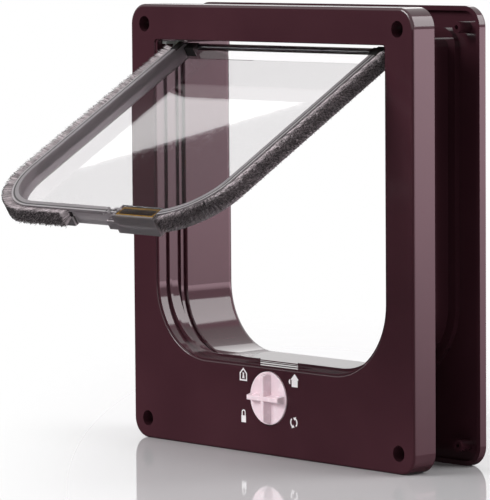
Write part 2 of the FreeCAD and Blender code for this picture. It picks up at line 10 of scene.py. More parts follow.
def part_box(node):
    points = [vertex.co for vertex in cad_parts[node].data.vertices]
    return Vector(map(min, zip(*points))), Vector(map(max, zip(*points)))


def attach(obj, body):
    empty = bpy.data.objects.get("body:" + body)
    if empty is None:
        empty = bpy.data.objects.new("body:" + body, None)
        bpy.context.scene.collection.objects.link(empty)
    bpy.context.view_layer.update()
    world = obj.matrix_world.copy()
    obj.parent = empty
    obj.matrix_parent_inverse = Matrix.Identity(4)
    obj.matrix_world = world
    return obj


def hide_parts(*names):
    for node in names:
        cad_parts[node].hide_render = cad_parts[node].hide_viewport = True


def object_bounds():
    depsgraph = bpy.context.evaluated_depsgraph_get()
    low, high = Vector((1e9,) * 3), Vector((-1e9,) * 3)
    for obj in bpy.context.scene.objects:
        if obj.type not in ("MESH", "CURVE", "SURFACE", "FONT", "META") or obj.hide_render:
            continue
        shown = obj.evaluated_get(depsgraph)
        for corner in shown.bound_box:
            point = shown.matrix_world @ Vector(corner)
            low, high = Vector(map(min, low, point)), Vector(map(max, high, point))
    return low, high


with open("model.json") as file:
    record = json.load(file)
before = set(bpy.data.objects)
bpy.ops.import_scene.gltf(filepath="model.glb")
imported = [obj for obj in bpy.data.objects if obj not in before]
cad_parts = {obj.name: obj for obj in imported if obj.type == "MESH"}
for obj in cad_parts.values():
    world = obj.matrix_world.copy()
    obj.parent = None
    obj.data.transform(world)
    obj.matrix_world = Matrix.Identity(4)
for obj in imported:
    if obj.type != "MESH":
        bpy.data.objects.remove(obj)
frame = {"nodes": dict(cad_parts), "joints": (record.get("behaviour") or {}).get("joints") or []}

cad_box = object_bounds()

# Inside and outside frames: injection-moulded ABS in a dark red-brown, with polished
# mould faces. The gloss is deep, and a faint waviness from the mould bends what it mirrors.
# Sizes of pieces and patterns are in mm throughout, and MM turns them to metres.
MM = 0.001
FRAME_BROWN = "#3B2027"
FRAME_BROWN_THIN = "#43262D"
FLOW_SIZE = 70.0
WAVE_SIZE = 14.0
WAVE_DEPTH = 0.012
GRAIN_SIZE = 0.8
FRAME_ROUGHNESS = (0.05, 0.11)


def linear(hex_colour):
    """An sRGB hex colour as linear red, green, blue and alpha."""
    parts = [int(hex_colour[i:i + 2], 16) / 255 for i in (1, 3, 5)]
    return [c / 12.92 if c <= 0.04045 else ((c + 0.055) / 1.055) ** 2.4 for c in parts] + [1.0]


def wire(tree, node, inputs):
    """Sets a node's sockets, found by name or number, to a value or from a (node, output name) pair."""
    for key, value in inputs.items():
        socket = (node.inputs[key] if isinstance(key, int)
                  else next(s for s in node.inputs if s.enabled and s.name == key))
        if isinstance(value, tuple) and len(value) == 2:
            source, name = value
            tree.links.new(next(o for o in source.outputs if o.enabled and o.name == name), socket)
        else:
            socket.default_value = value


def add(tree, kind, inputs=None, stops=None, **settings):
    """Adds a node with its settings and inputs. stops are the places and colours of a colour ramp."""
    node = tree.nodes.new(kind)
    for name, value in settings.items():
        setattr(node, name, value)
    wire(tree, node, inputs or {})
    if stops:
        ramp = node.color_ramp
        for element, (place, colour) in zip((ramp.elements[0], ramp.elements[-1]), (stops[0], stops[-1])):
            element.position = place
            element.color = linear(colour)
        for place, colour in stops[1:-1]:
            ramp.elements.new(place).color = linear(colour)
    return node


def new_material(name):
    """A new material, with its node tree, its main shader and its object coordinates."""
    material = bpy.data.materials.new(name)
    material.use_nodes = True
    tree = material.node_tree
    coords = add(tree, "ShaderNodeTexCoord")
    return material, tree, tree.nodes["Principled BSDF"], (coords, "Object")


def dress(material, *nodes):
    """Gives CAD nodes this material."""
    for name in nodes:
        frame["nodes"][name].data.materials.clear()
        frame["nodes"][name].data.materials.append(material)


frame_abs, tree, shader, place = new_material("polished_moulded_abs")
flow = add(tree, "ShaderNodeTexNoise", {"Vector": place, "Scale": 1 / (FLOW_SIZE * MM), "Detail": 3.0})
flow_colour = add(tree, "ShaderNodeValToRGB", {"Fac": (flow, "Fac")},
                  stops=[(0.3, FRAME_BROWN), (0.7, FRAME_BROWN_THIN)])
wave = add(tree, "ShaderNodeTexNoise", {"Vector": place, "Scale": 1 / (WAVE_SIZE * MM), "Detail": 1.0})
wave_bump = add(tree, "ShaderNodeBump", {"Height": (wave, "Fac"), "Strength": 1.0,
                                         "Distance": WAVE_DEPTH * MM})
grain = add(tree, "ShaderNodeTexNoise", {"Vector": place, "Scale": 1 / (GRAIN_SIZE * MM), "Detail": 2.0})
grain_gloss = add(tree, "ShaderNodeMapRange", {"Value": (grain, "Fac"), "To Min": FRAME_ROUGHNESS[0],
                                               "To Max": FRAME_ROUGHNESS[1]})
wire(tree, shader, {"Base Color": (flow_colour, "Color"), "Roughness": (grain_gloss, "Result"),
                    "Normal": (wave_bump, "Normal")})
dress(frame_abs, "inside_frame", "outside_frame")

# Flap panel and the magnet's cover: injection-moulded clear styrene. The pane is polished
# and almost unseen; the rim has a satin, slightly smoky mould face over the channel. Along
# the rim, a dark line is painted shade, as of a groove, and a light line beside it is a painted
# highlight, as of a lip. Round the magnet the rim is as clear as the pane.
FLAP_RAISED_DEG = 58.9
RIM_HALF_W = 84.9
RIM_BOTTOM = -167.6
RIM_CORNER_R = 36.0
RIM_W = 4.6
RIM_STEP = 0.2
CLEAR_TINT = "#F8F6F7"
RIM_TINT = "#B2ABAF"
RIM_GROOVE_PAINTED_SHADE = "#2A2628"
RIM_LIP_PAINTED_HIGHLIGHT = "#DAD4D7"
RIM_OUTSIDE = "#7A7377"
RIM_PAINTED_LINES = ((0.5, RIM_TINT), (0.56, RIM_GROOVE_PAINTED_SHADE), (0.72, RIM_GROOVE_PAINTED_SHADE), (0.78, RIM_LIP_PAINTED_HIGHLIGHT), (0.95, RIM_LIP_PAINTED_HIGHLIGHT),
             (1.0, RIM_OUTSIDE))
RIM_CLEARNESS = 0.68
RIM_ROUGHNESS = 0.5
CLEAR_IOR = 1.57
CLEAR_ROUGHNESS = (0.0, 0.05)
SCUFF_SIZE = 3.0
SCUFF_RANGE = (0.4, 0.8)
MAGNET_CENTRE = (42.0, -165.3, 1.9)
MAGNET_HALF = (15.0, 3.7)
BESIDE_MAGNET = (0.5, 1.5)
UNDER_MAGNET_Y = (-168.9, -169.4)

swing = next(j for j in frame["joints"] if j["name"] == "flap_swing")
corner_x = RIM_HALF_W - RIM_CORNER_R
corner_y = RIM_BOTTOM + RIM_CORNER_R
tilt_back = math.radians(90 - FLAP_RAISED_DEG)
on_flap = (Matrix.Translation(Vector(swing["pos_m"])) @ Matrix.Rotation(tilt_back, 4, "X")
           @ Matrix.Scale(MM, 4))


def along_flap(tree, place, centre):
    """Coordinates in mm on the flap: X across it, Y up it and Z towards the room, from a centre in mm."""
    return add(tree, "ShaderNodeMapping", {"Vector": place, "Location": on_flap @ Vector(centre),
                                           "Rotation": [tilt_back, 0, 0], "Scale": [MM, MM, MM]},
               vector_type="TEXTURE")


def out_from_middle(tree, place):
    """Flap coordinates, and the distance outwards from the line round which the rim's corners turn."""
    flap_place = along_flap(tree, place, (0, 0, 0))
    axes = add(tree, "ShaderNodeSeparateXYZ", {"Vector": (flap_place, "Vector")})
    aside = add(tree, "ShaderNodeMath", {0: (axes, "X")}, operation="ABSOLUTE")
    past_side = add(tree, "ShaderNodeMath", {0: (aside, "Value"), 1: corner_x}, operation="SUBTRACT")
    past_low = add(tree, "ShaderNodeMath", {0: corner_y, 1: (axes, "Y")}, operation="SUBTRACT")
    past = add(tree, "ShaderNodeCombineXYZ", {"X": (past_side, "Value"), "Y": (past_low, "Value")})
    past_only = add(tree, "ShaderNodeVectorMath", {0: (past, "Vector")}, operation="MAXIMUM")
    return axes, add(tree, "ShaderNodeVectorMath", {0: (past_only, "Vector")}, operation="LENGTH")


clear_styrene, tree, shader, place = new_material("polished_clear_styrene")
scuff = add(tree, "ShaderNodeTexNoise", {"Vector": place, "Scale": 1 / (SCUFF_SIZE * MM), "Detail": 4.0})
scuff_gloss = add(tree, "ShaderNodeMapRange", {"Value": (scuff, "Fac"), "From Min": SCUFF_RANGE[0],
                                               "From Max": SCUFF_RANGE[1], "To Min": CLEAR_ROUGHNESS[0],
                                               "To Max": CLEAR_ROUGHNESS[1]})
flap_axes, from_corner = out_from_middle(tree, place)
on_rim = add(tree, "ShaderNodeMapRange", {"Value": (from_corner, "Value"),
                                          "From Min": RIM_CORNER_R - RIM_W - RIM_STEP,
                                          "From Max": RIM_CORNER_R - RIM_W})
off_magnet = add(tree, "ShaderNodeMath", {0: (flap_axes, "X"), 1: MAGNET_CENTRE[0]}, operation="SUBTRACT")
aside_magnet = add(tree, "ShaderNodeMath", {0: (off_magnet, "Value")}, operation="ABSOLUTE")
beside = add(tree, "ShaderNodeMapRange", {"Value": (aside_magnet, "Value"),
                                          "From Min": MAGNET_HALF[0] + BESIDE_MAGNET[0],
                                          "From Max": MAGNET_HALF[0] + BESIDE_MAGNET[1]})
under = add(tree, "ShaderNodeMapRange", {"Value": (flap_axes, "Y"), "From Min": UNDER_MAGNET_Y[0],
                                         "From Max": UNDER_MAGNET_Y[1]})
off_bar = add(tree, "ShaderNodeMath", {0: (beside, "Result"), 1: (under, "Result")}, operation="MAXIMUM")
satin = add(tree, "ShaderNodeMapRange", {"Value": (off_bar, "Value"), "To Max": (on_rim, "Result")})
rim_clearness = add(tree, "ShaderNodeMapRange", {"Value": (satin, "Result"), "To Min": 1.0,
                                                 "To Max": RIM_CLEARNESS})
rim_gloss = add(tree, "ShaderNodeMix", {"Factor": (satin, "Result"), "A": (scuff_gloss, "Result"),
                                        "B": RIM_ROUGHNESS}, data_type="FLOAT")
# Across the rim: a dark line of painted shade, then a light line of painted highlight, and the outer edge
# darker again.
across_rim = add(tree, "ShaderNodeMapRange", {"Value": (from_corner, "Value"),
                                              "From Min": RIM_CORNER_R - RIM_W,
                                              "From Max": RIM_CORNER_R})
rim_painted_lines = add(tree, "ShaderNodeValToRGB", {"Fac": (across_rim, "Result")}, stops=RIM_PAINTED_LINES)
rim_colour = add(tree, "ShaderNodeMix", {"Factor": (satin, "Result"), "A": linear(CLEAR_TINT),
                                         "B": (rim_painted_lines, "Color")}, data_type="RGBA")
wire(tree, shader, {"Base Color": (rim_colour, "Result"), "Transmission Weight": (rim_clearness, "Result"),
                    "IOR": CLEAR_IOR, "Roughness": (rim_gloss, "Result")})
dress(clear_styrene, "flap_panel", "magnet_cover")

# Pile strips: dense synthetic fibres, cut to one length, woven in rows into a backing that
# slides into the channel of the flap's rim. Light fibres stand upright. Their tips are darkened
# as painted shade, for the shade caught between dense fibres seen end on, and a dark block
# among their roots is painted shade between the fibres.
PILE_START = -8.5
PILE_LEFT_END = -15.0
PILE_RIGHT_END = 60.0
PILE_SEAT = -2.0
PILE_REACH = 5.7
PILE_UNEVEN = 0.2
PILE_ROOT = -0.4
PILE_MIDDLE = 2.0
PILE_TIP = 1.0
PILE_HALF_W = 2.2
PILE_FAN = 1.1
PILE_SEED = 11
ROW_PITCH = 2.0
ROW_HALF = 0.86
DOUBLINGS = 4
FIBRES_IN_ROW = 96
FIBRE_SIDES = 3
FIBRE_ROOT_R = 0.10
FIBRE_TIP_R = 0.08
FIBRE_LEAN = 0.03
FIBRE_TONES = ((0.25, "#6E686A"), (0.5, "#B8AEB1"), (0.75, "#F0E6E9"))
TIP_PAINTED_SHADE_TONES = ((0.25, "#1C191A"), (0.55, "#4C4648"), (0.78, "#BDB4B7"))
FIBRE_ROUGHNESS = 0.5
FIBRE_SHEEN = 0.1
CLUMP_SIZE = 1.6
CLUMP_SHARE = 0.55
ROOT_PAINTED_SHADE_TONES = ((0.35, "#121011"), (0.7, "#2C292A"))
ROOT_ROUGHNESS = 0.9
ROOT_SHADE_SIZE = 0.7

dice = random.Random(PILE_SEED)
arm_run = PILE_START - corner_y
corner_run = RIM_CORNER_R * math.pi / 2


def rim_place(side, run):
    """A point on the rim's outer edge and its outward direction, a run in mm from the top of an arm."""
    angle = min(max((run - arm_run) / RIM_CORNER_R, 0), math.pi / 2)
    out = Vector((side * math.cos(angle), -math.sin(angle), 0))
    edge = Vector((side * corner_x, corner_y, 0)) + RIM_CORNER_R * out
    edge.y += max(arm_run - run, 0)
    edge.x -= side * max(run - arm_run - corner_run, 0)
    return edge, out


def finish_piece(bm, name, materials, body):
    """Makes a bmesh a piece with its materials, riding on a body."""
    bmesh.ops.recalc_face_normals(bm, faces=bm.faces)
    mesh = bpy.data.meshes.new(name)
    bm.to_mesh(mesh)
    bm.free()
    for material in materials:
        mesh.materials.append(material)
    piece = bpy.data.objects.new(name, mesh)
    bpy.context.scene.collection.objects.link(piece)
    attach(piece, body)
    return piece


def straight_pile(length):
    """A straight strip in mm: X along it, Y across it and Z up the fibres. Its first rows are
    doubled until they fill the length, the fibres fan out to their tips, and a root is added."""
    bm = bmesh.new()
    rows = round(length / ROW_PITCH / 2 ** DOUBLINGS)
    pitch = length / (rows * 2 ** DOUBLINGS)
    for row in range(rows):
        for _ in range(FIBRES_IN_ROW):
            height = PILE_REACH - PILE_SEAT - dice.uniform(0, PILE_UNEVEN)
            foot = Matrix.Translation(((row + 0.5) * pitch + dice.uniform(-ROW_HALF, ROW_HALF),
                                       dice.uniform(-PILE_HALF_W, PILE_HALF_W), PILE_SEAT))
            tilt = (Matrix.Rotation(dice.gauss(0, FIBRE_LEAN), 4, "X")
                    @ Matrix.Rotation(dice.gauss(0, FIBRE_LEAN), 4, "Y"))
            bmesh.ops.create_cone(bm, segments=FIBRE_SIDES, radius1=FIBRE_ROOT_R, radius2=FIBRE_TIP_R,
                                  depth=height, cap_ends=True,
                                  matrix=foot @ tilt @ Matrix.Translation((0, 0, height / 2)))
    span = rows * pitch
    for _ in range(DOUBLINGS):
        copy = bmesh.ops.duplicate(bm, geom=bm.verts[:] + bm.edges[:] + bm.faces[:])
        moved = [g for g in copy["geom"] if isinstance(g, bmesh.types.BMVert)]
        bmesh.ops.translate(bm, vec=(span, 0, 0), verts=moved)
        span *= 2
    for vert in bm.verts:
        vert.co.y *= 1 + PILE_FAN * (vert.co.z - PILE_SEAT) / (PILE_REACH - PILE_SEAT)
    flat = Matrix.Translation((length / 2, 0, PILE_SEAT)) @ Matrix.Diagonal((length, 2 * PILE_HALF_W, 1, 1))
    root = bmesh.ops.create_grid(bm, x_segments=int(length / ROW_PITCH), y_segments=1, size=0.5, matrix=flat)
    faces = list({face for vert in root["verts"] for face in vert.link_faces})
    thick = bmesh.ops.extrude_face_region(bm, geom=faces, use_keep_orig=True)
    lifted = [g for g in thick["geom"] if isinstance(g, bmesh.types.BMVert)]
    bmesh.ops.translate(bm, vec=(0, 0, PILE_ROOT - PILE_SEAT), verts=lifted)
    # The root block takes the second material, the dark painted shade among the roots.
    for vert in root["verts"] + lifted:
        for face in vert.link_faces:
            face.material_index = 1
    return bm


pile_fibre, tree, shader, place = new_material("woven_pile_fibre")
strand = add(tree, "ShaderNodeNewGeometry")
clump = add(tree, "ShaderNodeTexNoise", {"Vector": place, "Scale": 1 / (CLUMP_SIZE * MM), "Detail": 2.0})
tone = add(tree, "ShaderNodeMix", {"Factor": CLUMP_SHARE, "A": (strand, "Random Per Island"),
                                   "B": (clump, "Fac")}, data_type="FLOAT")
strand_colour = add(tree, "ShaderNodeValToRGB", {"Fac": (tone, "Result")}, stops=FIBRE_TONES)
# Fibre tips darkened as painted shade, for the shade caught between dense fibres.
tip_shade_colour = add(tree, "ShaderNodeValToRGB", {"Fac": (tone, "Result")}, stops=TIP_PAINTED_SHADE_TONES)
_, pile_out = out_from_middle(tree, place)
at_tip = add(tree, "ShaderNodeMapRange", {"Value": (pile_out, "Value"),
                                          "From Min": RIM_CORNER_R + PILE_REACH - PILE_TIP,
                                          "From Max": RIM_CORNER_R + PILE_REACH - PILE_TIP / 2})
pile_colour = add(tree, "ShaderNodeMix", {"Factor": (at_tip, "Result"), "A": (strand_colour, "Color"),
                                          "B": (tip_shade_colour, "Color")}, data_type="RGBA")
wire(tree, shader, {"Base Color": (pile_colour, "Result"), "Roughness": FIBRE_ROUGHNESS,
                    "Sheen Weight": FIBRE_SHEEN})

# The root block: dark as painted shade among the fibre roots, not a colour of the pile itself.
pile_root, tree, shader, place = new_material("painted_shade_pile_root")
shade = add(tree, "ShaderNodeTexNoise", {"Vector": place, "Scale": 1 / (ROOT_SHADE_SIZE * MM), "Detail": 2.0})
shade_colour = add(tree, "ShaderNodeValToRGB", {"Fac": (shade, "Fac")}, stops=ROOT_PAINTED_SHADE_TONES)
wire(tree, shader, {"Base Color": (shade_colour, "Color"), "Roughness": ROOT_ROUGHNESS})

cut_turn = math.acos((PILE_RIGHT_END - corner_x) / RIM_CORNER_R)
for name, side, length in (("left", -1, arm_run + corner_run + corner_x + PILE_LEFT_END),
                           ("right", 1, arm_run + RIM_CORNER_R * cut_turn)):
    strip = straight_pile(length)
    for vert in strip.verts:
        edge, out = rim_place(side, vert.co.x)
        vert.co = edge + vert.co.z * out + Vector((0, 0, PILE_MIDDLE + vert.co.y))
    bmesh.ops.transform(strip, matrix=on_flap, verts=strip.verts)
    piece = finish_piece(strip, f"pile_{name}", (pile_fibre, pile_root), "flap")
    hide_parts(f"pile_strip_{name}")

# Backing of the pile strips: woven polypropylene tape, seen only as a grey matt band in
# the channel behind the fibres.
BACKING_DARK = "#6A6465"
BACKING_LIGHT = "#8A8485"
BACKING_THREAD = 0.5
BACKING_ROUGHNESS = 0.8

backing_tape, tree, shader, place = new_material("woven_polypropylene_tape")
thread = add(tree, "ShaderNodeTexVoronoi", {"Vector": place, "Scale": 1 / (BACKING_THREAD * MM)})
thread_colour = add(tree, "ShaderNodeValToRGB", {"Fac": (thread, "Distance")},
                    stops=[(0.0, BACKING_LIGHT), (0.8, BACKING_DARK)])
wire(tree, shader, {"Base Color": (thread_colour, "Color"), "Roughness": BACKING_ROUGHNESS})
dress(backing_tape, "pile_backing_left", "pile_backing_right")

# Hinge clips, lock cover and the sill magnet's cap: moulded black nylon with a fine
# spark-eroded mould face, so it is satin rather than glossy. A clip lies under the bar and
# caps the end of the arm; its two outlines are points towards the room and up the flap.
CLIP_UNDER_BAR = ((2.1, 0), (2.9, 0), (2.9, -5.6), (-2.64, -5.6), (1.68, -1.05))
CLIP_ON_ARM = ((1.89, 0), (2.9, 0), (5.7, -3.0), (5.7, -11.4), (4.5, -11.4), (4.5, -4.1))
CLIP_REACH = 12.5
NYLON_BLACK = "#151414"
NYLON_WORN = "#252323"
NYLON_ROUGHNESS = 0.38
SPARK_SIZE = 0.35
SPARK_DEPTH = 0.02
SPARK_STRENGTH = 0.6

black_nylon, tree, shader, place = new_material("moulded_black_nylon")
spark = add(tree, "ShaderNodeTexNoise", {"Vector": place, "Scale": 1 / (SPARK_SIZE * MM), "Detail": 3.0})
spark_colour = add(tree, "ShaderNodeValToRGB", {"Fac": (spark, "Fac")},
                   stops=[(0.3, NYLON_BLACK), (0.8, NYLON_WORN)])
spark_bump = add(tree, "ShaderNodeBump", {"Height": (spark, "Fac"), "Strength": SPARK_STRENGTH,
                                          "Distance": SPARK_DEPTH * MM})
wire(tree, shader, {"Base Color": (spark_colour, "Color"), "Roughness": NYLON_ROUGHNESS,
                    "Normal": (spark_bump, "Normal")})
dress(black_nylon, "lock_cover", "sill_magnet_cap")

for name, side in (("left", -1), ("right", 1)):
    clip = bmesh.new()
    for outline, reach in ((CLIP_UNDER_BAR, CLIP_REACH), (CLIP_ON_ARM, RIM_W)):
        profile = clip.faces.new([clip.verts.new((side * RIM_HALF_W, y, z)) for z, y in outline])
        block = bmesh.ops.extrude_face_region(clip, geom=[profile], use_keep_orig=True)
        inner = [g for g in block["geom"] if isinstance(g, bmesh.types.BMVert)]
        bmesh.ops.translate(clip, vec=(-side * reach, 0, 0), verts=inner)
    bmesh.ops.transform(clip, matrix=on_flap, verts=clip.verts)
    piece = finish_piece(clip, f"clip_{name}", (black_nylon,), "flap")
    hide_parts(f"hinge_clip_{name}")

# Hinge bearings and lock barrel: moulded natural acetal, a slightly see-through waxy
# white that needs no grease.
ACETAL = "#DDE0DC"
ACETAL_SHADE = "#CDD1CC"
ACETAL_CLOUD = 6.0
ACETAL_ROUGHNESS = 0.3
ACETAL_SCATTER = 0.25
ACETAL_SCATTER_R = (1.2, 1.2, 1.0)

acetal, tree, shader, place = new_material("moulded_natural_acetal")
cloud = add(tree, "ShaderNodeTexNoise", {"Vector": place, "Scale": 1 / (ACETAL_CLOUD * MM), "Detail": 2.0})
cloud_colour = add(tree, "ShaderNodeValToRGB", {"Fac": (cloud, "Fac")},
                   stops=[(0.3, ACETAL_SHADE), (0.7, ACETAL)])
wire(tree, shader, {"Base Color": (cloud_colour, "Color"), "Roughness": ACETAL_ROUGHNESS,
                    "Subsurface Weight": ACETAL_SCATTER, "Subsurface Scale": 1.0,
                    "Subsurface Radius": [r * MM for r in ACETAL_SCATTER_R]})
dress(acetal, "hinge_bearing_left", "hinge_bearing_right", "lock_barrel")

# Hinge rod, screws and detent spring: bright drawn steel wire and strip, zinc plated.
# Fine lines from drawing run through a cool, slightly cloudy plate.
STEEL_BRIGHT = "#B9BBBF"
STEEL_DULL = "#8F9196"
STEEL_ROUGHNESS = (0.2, 0.42)
DRAWN_LINE = 0.12
DRAWN_STRETCH = 50.0

drawn_steel, tree, shader, place = new_material("drawn_zinc_plated_steel")
lines = add(tree, "ShaderNodeMapping", {"Vector": place, "Scale": [1 / DRAWN_STRETCH, 1.0, 1.0]})
line_noise = add(tree, "ShaderNodeTexNoise", {"Vector": (lines, "Vector"), "Scale": 1 / (DRAWN_LINE * MM),
                                              "Detail": 3.0})
line_colour = add(tree, "ShaderNodeValToRGB", {"Fac": (line_noise, "Fac")},
                  stops=[(0.3, STEEL_DULL), (0.7, STEEL_BRIGHT)])
line_gloss = add(tree, "ShaderNodeMapRange", {"Value": (line_noise, "Fac"), "To Min": STEEL_ROUGHNESS[0],
                                              "To Max": STEEL_ROUGHNESS[1]})
wire(tree, shader, {"Base Color": (line_colour, "Color"), "Metallic": 1.0,
                    "Roughness": (line_gloss, "Result")})
dress(drawn_steel, "hinge_rod", "knob_screw", "lock_cover_screws", "detent_spring")

# Sill magnet: a bar pressed from powder and plated with nickel, held in its pocket by a
# cap. The plating follows the grainy face, so it is bright but not smooth.
NICKEL_PLATE = "#B4B2AC"
NICKEL_WORN = "#8E8C86"
NICKEL_ROUGHNESS = 0.32
PRESSED_GRAIN = 0.6

nickel, tree, shader, place = new_material("nickel_plated_magnet")
pressed = add(tree, "ShaderNodeTexNoise", {"Vector": place, "Scale": 1 / (PRESSED_GRAIN * MM), "Detail": 4.0})
pressed_colour = add(tree, "ShaderNodeValToRGB", {"Fac": (pressed, "Fac")},
                     stops=[(0.35, NICKEL_WORN), (0.65, NICKEL_PLATE)])
wire(tree, shader, {"Base Color": (pressed_colour, "Color"), "Metallic": 1.0,
                    "Roughness": NICKEL_ROUGHNESS})
dress(nickel, "sill_magnet")

# Flap magnet: a pressed bar plated yellow. It is coloured bright and metallic along the edges, and
# dark and not metallic in the middle of its broad faces.
GOLD_PLATE = "#E0B24A"
GOLD_WORN = "#A87A2C"
GOLD_ROUGHNESS = 0.35
MAGNET_MIDDLE_DARK = "#33211A"
MAGNET_EDGE = 1.3
MAGNET_EDGE_FADE = 0.3

gold, tree, shader, place = new_material("yellow_plated_magnet")
pressed = add(tree, "ShaderNodeTexNoise", {"Vector": place, "Scale": 1 / (PRESSED_GRAIN * MM), "Detail": 4.0})
gold_colour = add(tree, "ShaderNodeValToRGB", {"Fac": (pressed, "Fac")},
                  stops=[(0.35, GOLD_WORN), (0.65, GOLD_PLATE)])
bar_place = along_flap(tree, place, MAGNET_CENTRE)
bar_sides = add(tree, "ShaderNodeVectorMath", {0: (bar_place, "Vector")}, operation="ABSOLUTE")
bar_axes = add(tree, "ShaderNodeSeparateXYZ", {"Vector": (bar_sides, "Vector")})
at_edge = add(tree, "ShaderNodeMath", operation="MAXIMUM")
for number, (axis, half) in enumerate(zip("XY", MAGNET_HALF)):
    near = add(tree, "ShaderNodeMapRange", {"Value": (bar_axes, axis),
                                            "From Min": half - MAGNET_EDGE - MAGNET_EDGE_FADE,
                                            "From Max": half - MAGNET_EDGE})
    wire(tree, at_edge, {number: (near, "Result")})
bar_colour = add(tree, "ShaderNodeMix", {"Factor": (at_edge, "Value"), "A": linear(MAGNET_MIDDLE_DARK),
                                         "B": (gold_colour, "Color")}, data_type="RGBA")
wire(tree, shader, {"Base Color": (bar_colour, "Result"), "Metallic": (at_edge, "Value"),
                    "Roughness": GOLD_ROUGHNESS})
dress(gold, "flap_magnet")

# Lock knob: moulded ABS in a pale pink, with a gloss that is rubbed a little by fingers.
# A little light passes into it, which softens its edges.
KNOB_PINK = "#F8E3EA"
KNOB_RUBBED = "#F1DAE2"
KNOB_ROUGHNESS = (0.18, 0.34)
KNOB_SCATTER = 0.15
KNOB_SCATTER_R = (1.5, 1.0, 1.0)
RUB_SIZE = 5.0

knob_abs, tree, shader, place = new_material("moulded_pale_abs")
rub = add(tree, "ShaderNodeTexNoise", {"Vector": place, "Scale": 1 / (RUB_SIZE * MM), "Detail": 4.0})
rub_colour = add(tree, "ShaderNodeValToRGB", {"Fac": (rub, "Fac")},
                 stops=[(0.3, KNOB_RUBBED), (0.7, KNOB_PINK)])
rub_gloss = add(tree, "ShaderNodeMapRange", {"Value": (rub, "Fac"), "To Min": KNOB_ROUGHNESS[0],
                                             "To Max": KNOB_ROUGHNESS[1]})
wire(tree, shader, {"Base Color": (rub_colour, "Color"), "Roughness": (rub_gloss, "Result"),
                    "Subsurface Weight": KNOB_SCATTER, "Subsurface Scale": 1.0,
                    "Subsurface Radius": [r * MM for r in KNOB_SCATTER_R]})
dress(knob_abs, "lock_knob")

# Four pictograms round the knob, pad-printed in white ink: in only, out only, locked and
# free. The ink lies as a thin film on the gloss, and its white is a little uneven. Places
# are in mm from the middle of a pictogram, and an arc is its middle, radius and ends.
INK_WHITE = "#F4F1F2"
INK_THIN = "#E3DEE0"
INK_ROUGHNESS = 0.35
INK_CLOUD = 0.7
INK_FILM = 0.05
INK_SINK = 0.02
MARK_X = 21.0
MARK_Z = 11.8
HOUSE_HALF_W = 3.1
HOUSE_BASE = -3.7
HOUSE_EAVES = 0.7
HOUSE_TOP = 3.8
HOUSE_BAND = 0.85
ROOM_EAVES = 0.5
ROOF_BANDS = 1.4
CAT_FRONT = ((-1.0, -2.3), (1.0, -2.3), (0.45, -0.1), (0.6, 0.4), (0.55, 1.2), (0.2, 0.9), (-0.2, 0.9),
             (-0.55, 1.2), (-0.6, 0.4), (-0.45, -0.1))
CAT_BACK_ARC = (-2.5, -0.9, 1.5, 100, 260)
FULL_HOUSE = ((-1.6, -3.7), (3.3, -3.7), (3.3, 0.1), (4.1, 0.5), (0.9, 3.7), (-2.3, 0.5), (-1.6, 0.1))
PADLOCK_HALF_W = 1.9
PADLOCK_BASE = -3.7
PADLOCK_TOP = 0.2
SHACKLE_Z = 2.0
SHACKLE_RADII = (1.6, 0.9)
RING_RADII = (3.0, 2.1)
RING_STARTS_DEG = (-50, 130)
RING_SWEEP_DEG = 110
ARROW_HEAD = ((3.9, 108), (2.7, 150), (1.3, 108))
CURVE_STEPS = 10

knob_turn = next(j for j in frame["joints"] if j["name"] == "lock_knob_turn")
knob_axis = Vector(knob_turn["pos_m"])
front_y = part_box("inside_frame")[0].y


def print_shape(bm, centre, points):
    """A flat printed shape from an outline in mm round a centre, as a thin film on the front face."""
    film = [bm.verts.new((knob_axis.x + (centre[0] + x) * MM, front_y + INK_SINK * MM,
                          knob_axis.z + (centre[1] + z) * MM)) for x, z in points]
    face = bm.faces.new(film)
    raised = bmesh.ops.extrude_face_region(bm, geom=[face])
    lifted = [g for g in raised["geom"] if isinstance(g, bmesh.types.BMVert)]
    bmesh.ops.translate(bm, vec=(0, -(INK_FILM + INK_SINK) * MM, 0), verts=lifted)


def print_band(bm, centre, outer, inner):
    """A printed band between two outlines of as many points, closed if each ends where it starts."""
    for n in range(len(outer) - 1):
        print_shape(bm, centre, (outer[n], outer[n + 1], inner[n + 1], inner[n]))


def arc(x, z, r, start_deg, end_deg):
    """Points on an arc, in mm."""
    angles = [math.radians(start_deg + (end_deg - start_deg) * n / CURVE_STEPS)
              for n in range(CURVE_STEPS + 1)]
    return [(x + r * math.cos(a), z + r * math.sin(a)) for a in angles]


def house(half_w, base, eaves, top):
    """A house's outline: two walls and a pitched roof."""
    return [(-half_w, base), (half_w, base), (half_w, eaves), (0, top), (-half_w, eaves)]


ink = bmesh.new()
in_only = (-MARK_X, MARK_Z)
walls = house(HOUSE_HALF_W, HOUSE_BASE, HOUSE_EAVES, HOUSE_TOP)
room = house(HOUSE_HALF_W - HOUSE_BAND, HOUSE_BASE + HOUSE_BAND, ROOM_EAVES,
             HOUSE_TOP - ROOF_BANDS * HOUSE_BAND)
print_band(ink, in_only, walls + walls[:1], room + room[:1])
print_shape(ink, in_only, CAT_FRONT)

out_only = (MARK_X, MARK_Z)
print_shape(ink, out_only, FULL_HOUSE)
print_shape(ink, out_only, arc(*CAT_BACK_ARC))

locked = (-MARK_X, -MARK_Z)
print_shape(ink, locked, [(-PADLOCK_HALF_W, PADLOCK_BASE), (PADLOCK_HALF_W, PADLOCK_BASE),
                          (PADLOCK_HALF_W, PADLOCK_TOP), (-PADLOCK_HALF_W, PADLOCK_TOP)])
print_band(ink, locked, *([(r, PADLOCK_TOP)] + arc(0, SHACKLE_Z, r, 0, 180) + [(-r, PADLOCK_TOP)]
                          for r in SHACKLE_RADII))

